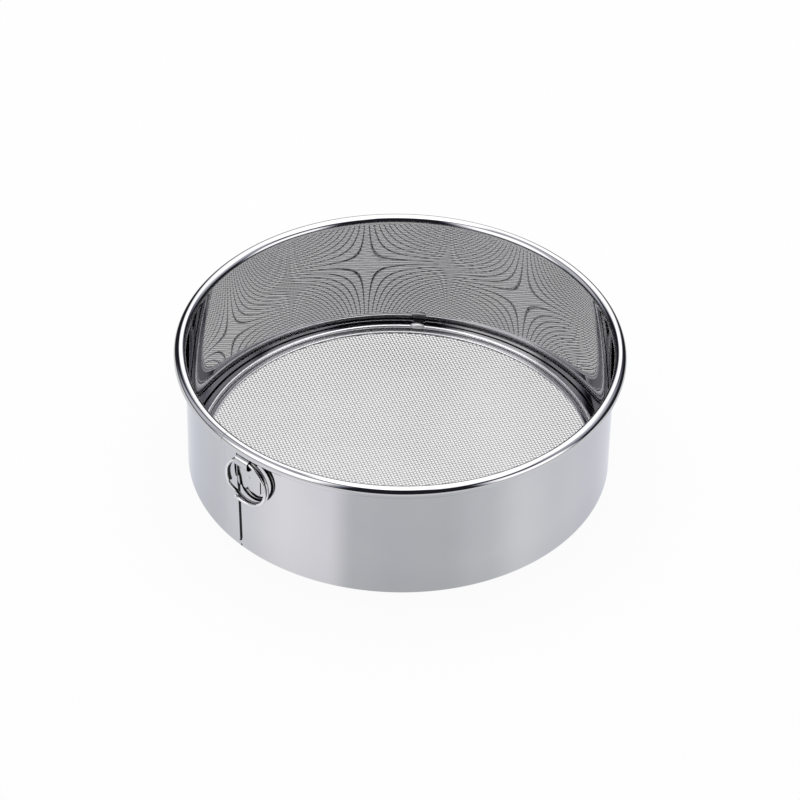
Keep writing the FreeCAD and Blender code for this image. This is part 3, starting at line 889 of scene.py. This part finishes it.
add_node(floor_paint, "ShaderNodeOutputMaterial", {"Surface": floor_sides.outputs[0]})
floor_corners = [(x * FLOOR_HALF, y * FLOOR_HALF, FLOOR_HEIGHT)
                 for x, y in ((-1, -1), (1, -1), (1, 1), (-1, 1))]
stage_piece("floor", floor_corners, [(0, 1, 2, 3)], floor_paint)
print("floor", 2 * FLOOR_HALF, "m wide")

# %% [markdown]
# The world is the white backdrop, and also fills the shadows a little from all sides.

# %% The backdrop
FILL_LIGHT = 0.35
world = bpy.data.worlds.new("studio")
bpy.context.scene.world = world
world.use_nodes = True
world.node_tree.nodes.clear()
world_share = white_share(world, 1.0)
world_fill = add_node(world, "ShaderNodeBackground", {"Color": WHITE, "Strength": FILL_LIGHT})
world_white = add_node(world, "ShaderNodeBackground", {"Color": WHITE, "Strength": 1.0})
world_mix = add_node(world, "ShaderNodeMixShader",
                     {0: world_share, 1: world_fill.outputs[0], 2: world_white.outputs[0]})
add_node(world, "ShaderNodeOutputWorld", {"Surface": world_mix.outputs[0]})
print("fill light", FILL_LIGHT)

# %% [markdown]
# The photograph looks down from the front right at thirty-nine degrees. Everything in the studio has a
# bearing from there, counted towards the camera's right, so that the highlights stay where they belong.

# %% Bearings from the camera's side
VIEW_AZIMUTH = 42.1
VIEW_ELEVATION = 39.004


def around(radius, bearing, height):
    """A point in metres at a bearing from the camera's side."""
    turn = math.radians(VIEW_AZIMUTH + bearing)
    return Vector((radius * math.sin(turn), -radius * math.cos(turn), height))


print("the camera looks from", VIEW_AZIMUTH, "degrees right of the hanger")

# %% [markdown]
# The tent, the dark end of the table and a graded card are sheets that glow. Each point of a sheet stores
# its own colour, which the material reads as an attribute, so one material serves them all. Only mirrors
# see them: they cast no light on matt surfaces, no shadow, and don't hide the white backdrop.

# %% Sheets that glow
GLOW = "glow"
tent_glow = new_material("tent_glow")
stored_colour = add_node(tent_glow, "ShaderNodeAttribute", attribute_name=GLOW)
glow_shader = add_node(tent_glow, "ShaderNodeEmission",
                       {"Color": stored_colour.outputs["Color"], "Strength": 1.0})
add_node(tent_glow, "ShaderNodeOutputMaterial", {"Surface": glow_shader.outputs[0]})


def glowing_sheet(name, bearings, steps, point_at, colour_at):
    """A stage piece over a grid of bearings and steps; two functions give its points and colours."""
    columns = len(bearings)
    grid = [(bearing, step) for step in steps for bearing in bearings]
    faces = [(r * columns + c, r * columns + c + 1, (r + 1) * columns + c + 1, (r + 1) * columns + c)
             for r in range(len(steps) - 1) for c in range(columns - 1)]
    piece = stage_piece(name, [point_at(*place) for place in grid], faces, tent_glow)
    layer = piece.data.attributes.new(GLOW, "FLOAT_COLOR", "POINT")
    for index, place in enumerate(grid):
        layer.data[index].color = (*colour_at(*place), 1.0)
    piece.visible_camera = False
    piece.visible_diffuse = False
    piece.visible_shadow = False
    print(name, len(steps), "rows and", columns, "columns")


def soft_step(value, edge, softness):
    """From 0 to 1 round an edge, over a range as wide as the softness."""
    return ease((value - edge) / softness + 0.5)


print("glow helpers ready")

# %% [markdown]
# ## The tent
# The cloth is nearly black, and dim parts of it are a touch blue, as shaded cloth is. A round window is
# open overhead, and each other window is a patch of bearing and elevation with soft edges. The one behind
# the drum lights the far side of the rim, and those at the sides draw the long white lines along its flanks.

# %% The tent and its windows
TENT_RADIUS = 1.5
TENT_MIDDLE = 0.06
BLACK_CLOTH = 0.02
DIM_BLUE = 0.3
# from elevation, light, softness in degrees
overhead_window = (71, 2.4, 8)
# from bearing, to bearing, from elevation, to elevation, light, softness in degrees
side_windows = [
    (25, 80, 62, 100, 2.0, 12),
    (60, 180, 58, 100, 2.0, 10),
    (118, 215, 42, 100, 1.9, 16),
    (154, 197, 13, 100, 1.9, 12),
    (90, 140, 28, 75, 0.65, 20),
    (-88, -33, 7, 58, 2.0, 22),
    (-125, -90, 10, 75, 0.8, 20),
    (41, 84, 3, 38, 1.9, 16),
]


def tent_light(bearing, elevation):
    """The brightest window at a point of the tent, or else the cloth."""
    overhead_edge, overhead_light, overhead_softness = overhead_window
    light = max(BLACK_CLOTH, overhead_light * soft_step(elevation, overhead_edge, overhead_softness))
    for from_bearing, to_bearing, from_elevation, to_elevation, strength, softness in side_windows:
        upright = (soft_step(elevation, from_elevation, softness)
                   * (1 - soft_step(elevation, to_elevation, softness)))
        for turned in (bearing, bearing + 360):
            across = (soft_step(turned, from_bearing, softness)
                      * (1 - soft_step(turned, to_bearing, softness)))
            light = max(light, strength * across * upright)
    return light


def tent_colour(bearing, elevation):
    light = tent_light(bearing, elevation)
    return light, light, light * (1.0 + DIM_BLUE * (1 - min(light, 1.0)))


def tent_point(bearing, elevation):
    rise = math.radians(elevation)
    return around(TENT_RADIUS * math.cos(rise), bearing, TENT_MIDDLE + TENT_RADIUS * math.sin(rise))


glowing_sheet("tent", spread(-180, 180, 145), spread(-3, 90, 63), tent_point, tent_colour)

# %% [markdown]
# The white table ends behind the drum, and the dark beyond it gives the rim's outer edge its dark line. A
# light gap straight behind, where the back window stands, keeps that stretch of the rim bright.

# %% The dark end of the table
TABLE_WHITE, TABLE_DARK = 0.96, 0.04
TABLE_END_HEIGHT = 0.0008
DARK_FROM, DARK_TO, DARK_SOFTNESS = 100, 232, 16
GAP_FROM, GAP_TO, GAP_SOFTNESS = 166, 186, 6
DARK_RADIUS, RADIUS_SOFTNESS = 0.36, 0.12


def table_point(bearing, radius):
    return around(radius, bearing, TABLE_END_HEIGHT)


def table_colour(bearing, radius):
    """Dark from one side of the drum round the back to the other, with soft ends and the light gap."""
    dark = soft_step(bearing, DARK_FROM, DARK_SOFTNESS) * (1 - soft_step(bearing, DARK_TO, DARK_SOFTNESS))
    gap = soft_step(bearing, GAP_FROM, GAP_SOFTNESS) * (1 - soft_step(bearing, GAP_TO, GAP_SOFTNESS))
    dark *= soft_step(radius, DARK_RADIUS, RADIUS_SOFTNESS) * (1 - gap)
    tone = TABLE_WHITE + (TABLE_DARK - TABLE_WHITE) * dark
    return tone, tone, tone


glowing_sheet("table_end", spread(92, 240, 75), (0.30, 0.33, 0.36, 0.39, 0.42, 1.5),
              table_point, table_colour)

# %% [markdown]
# ## The lamp
# One large soft lamp overhead lights what is matt and casts the soft shadow. An area lamp is simple and
# quick to render. Mirrors don't see it, because the tent's windows stand for it there.

# %% The soft lamp
LAMP_HEIGHT = 0.9
LAMP_BACK = 0.2
LAMP_LIGHT = 1.6
lamp_data = bpy.data.lights.new("soft_lamp", "AREA")
lamp_data.shape = "RECTANGLE"
lamp_data.size, lamp_data.size_y = 1.6, 1.2
lamp_data.energy = LAMP_LIGHT * math.pi * lamp_data.size * lamp_data.size_y
lamp = new_object("soft_lamp", lamp_data)
lamp.location = around(-LAMP_BACK, 0.0, LAMP_HEIGHT)
lamp.rotation_euler = (0.0, 0.0, math.radians(VIEW_AZIMUTH))
lamp.visible_glossy = False
print("lamp", round(lamp_data.energy, 1), "W at", tuple(round(v, 3) for v in lamp.location))

# %% [markdown]
# ## The graded card
# The outer wall stands upright, so a camera that looks down on it sees only the table mirrored in it.
# Photographers lay graded card round such a piece, out of the picture, to shade it. This card is grey in
# front, light to both sides of that, and fades to the table's white at its ends and outer edge. Its strips
# run along the mirrored lines of sight, so that each shade shows as an upright band on the wall.

# %% The card's shades
# bearing on the wall, colour
card_shades = [
    (-88, (0.97, 0.97, 0.98)), (-80, (0.86, 0.88, 0.93)), (-70, (0.83, 0.85, 0.92)),
    (-60, (0.86, 0.88, 0.93)), (-45, (1.02, 1.03, 1.08)), (-31, (1.19, 1.18, 1.21)),
    (-19, (1.12, 1.11, 1.16)), (-11, (0.77, 0.78, 0.81)), (0, (0.74, 0.75, 0.78)),
    (12, (0.745, 0.755, 0.78)), (23, (0.84, 0.85, 0.88)), (36, (1.02, 1.03, 1.06)),
    (50, (0.94, 0.95, 0.99)), (66, (0.86, 0.87, 0.94)), (80, (0.86, 0.87, 0.93)),
    (88, (0.97, 0.97, 0.98)),
]


def card_shade(bearing):
    """Reads the shades with smooth steps between them."""
    for (low, low_colour), (high, high_colour) in zip(card_shades, card_shades[1:]):
        if bearing <= high:
            share = ease((bearing - low) / (high - low))
            return [a + (b - a) * share for a, b in zip(low_colour, high_colour)]
    return list(card_shades[-1][1])


print("shade in front", card_shade(0))

# %% [markdown]
# A line of sight that meets the wall at a bearing leaves it at twice that bearing. So each strip starts
# at the wall and runs out along the doubled bearing. It is a little darker close to the wall, where the
# drum shades the card.

# %% Lay the graded card
CARD_START = 0.1043
CARD_HEIGHT = 0.0006
CARD_REACH = 0.15
CARD_EDGE = (0.97, 0.97, 0.97)
# distance from the wall, share of the shade
card_tones = {0.0: 0.93, 0.02: 0.98, 0.06: 1.0, 0.088: 1.0}


def card_point(bearing, reach):
    return around(CARD_START, bearing, CARD_HEIGHT) + around(reach, 2 * bearing, 0.0)


def card_colour(bearing, reach):
    if reach == CARD_REACH:
        return CARD_EDGE
    return [value * card_tones[reach] for value in card_shade(bearing)]


glowing_sheet("graded_card", spread(-88, 88, 177), (*card_tones, CARD_REACH), card_point, card_colour)

# %% [markdown]
# ## The camera
# The camera stands far off with a long lens, which keeps the drum's ellipses nearly parallel. It is aimed
# at the middle of the drum by a direction turned into a rotation, and rolled by one degree, as a hand-held
# camera is.

# %% The camera
AIM = Vector((0.0, 0.0, 0.0335))
DISTANCE = 1.6193
LENS = 148.13
ROLL = 1.085
rise = math.radians(VIEW_ELEVATION)
camera_data = bpy.data.cameras.new("camera")
camera_data.lens = LENS
camera_data.sensor_width = 36.0
camera_data.shift_x = 0.0008
camera_data.clip_start, camera_data.clip_end = 0.05, 20.0
camera = new_object("camera", camera_data)
camera.location = AIM + around(DISTANCE * math.cos(rise), 0.0, DISTANCE * math.sin(rise))
look = (AIM - camera.location).to_track_quat("-Z", "Y")
roll = Matrix.Rotation(math.radians(ROLL), 3, "Z")
camera.rotation_euler = (look.to_matrix() @ roll).to_euler()
bpy.context.scene.camera = camera
bpy.context.scene.view_settings.view_transform = "Standard"
print("camera", round(camera.location.length, 3), "m from the foot's middle, lens", LENS, "mm")
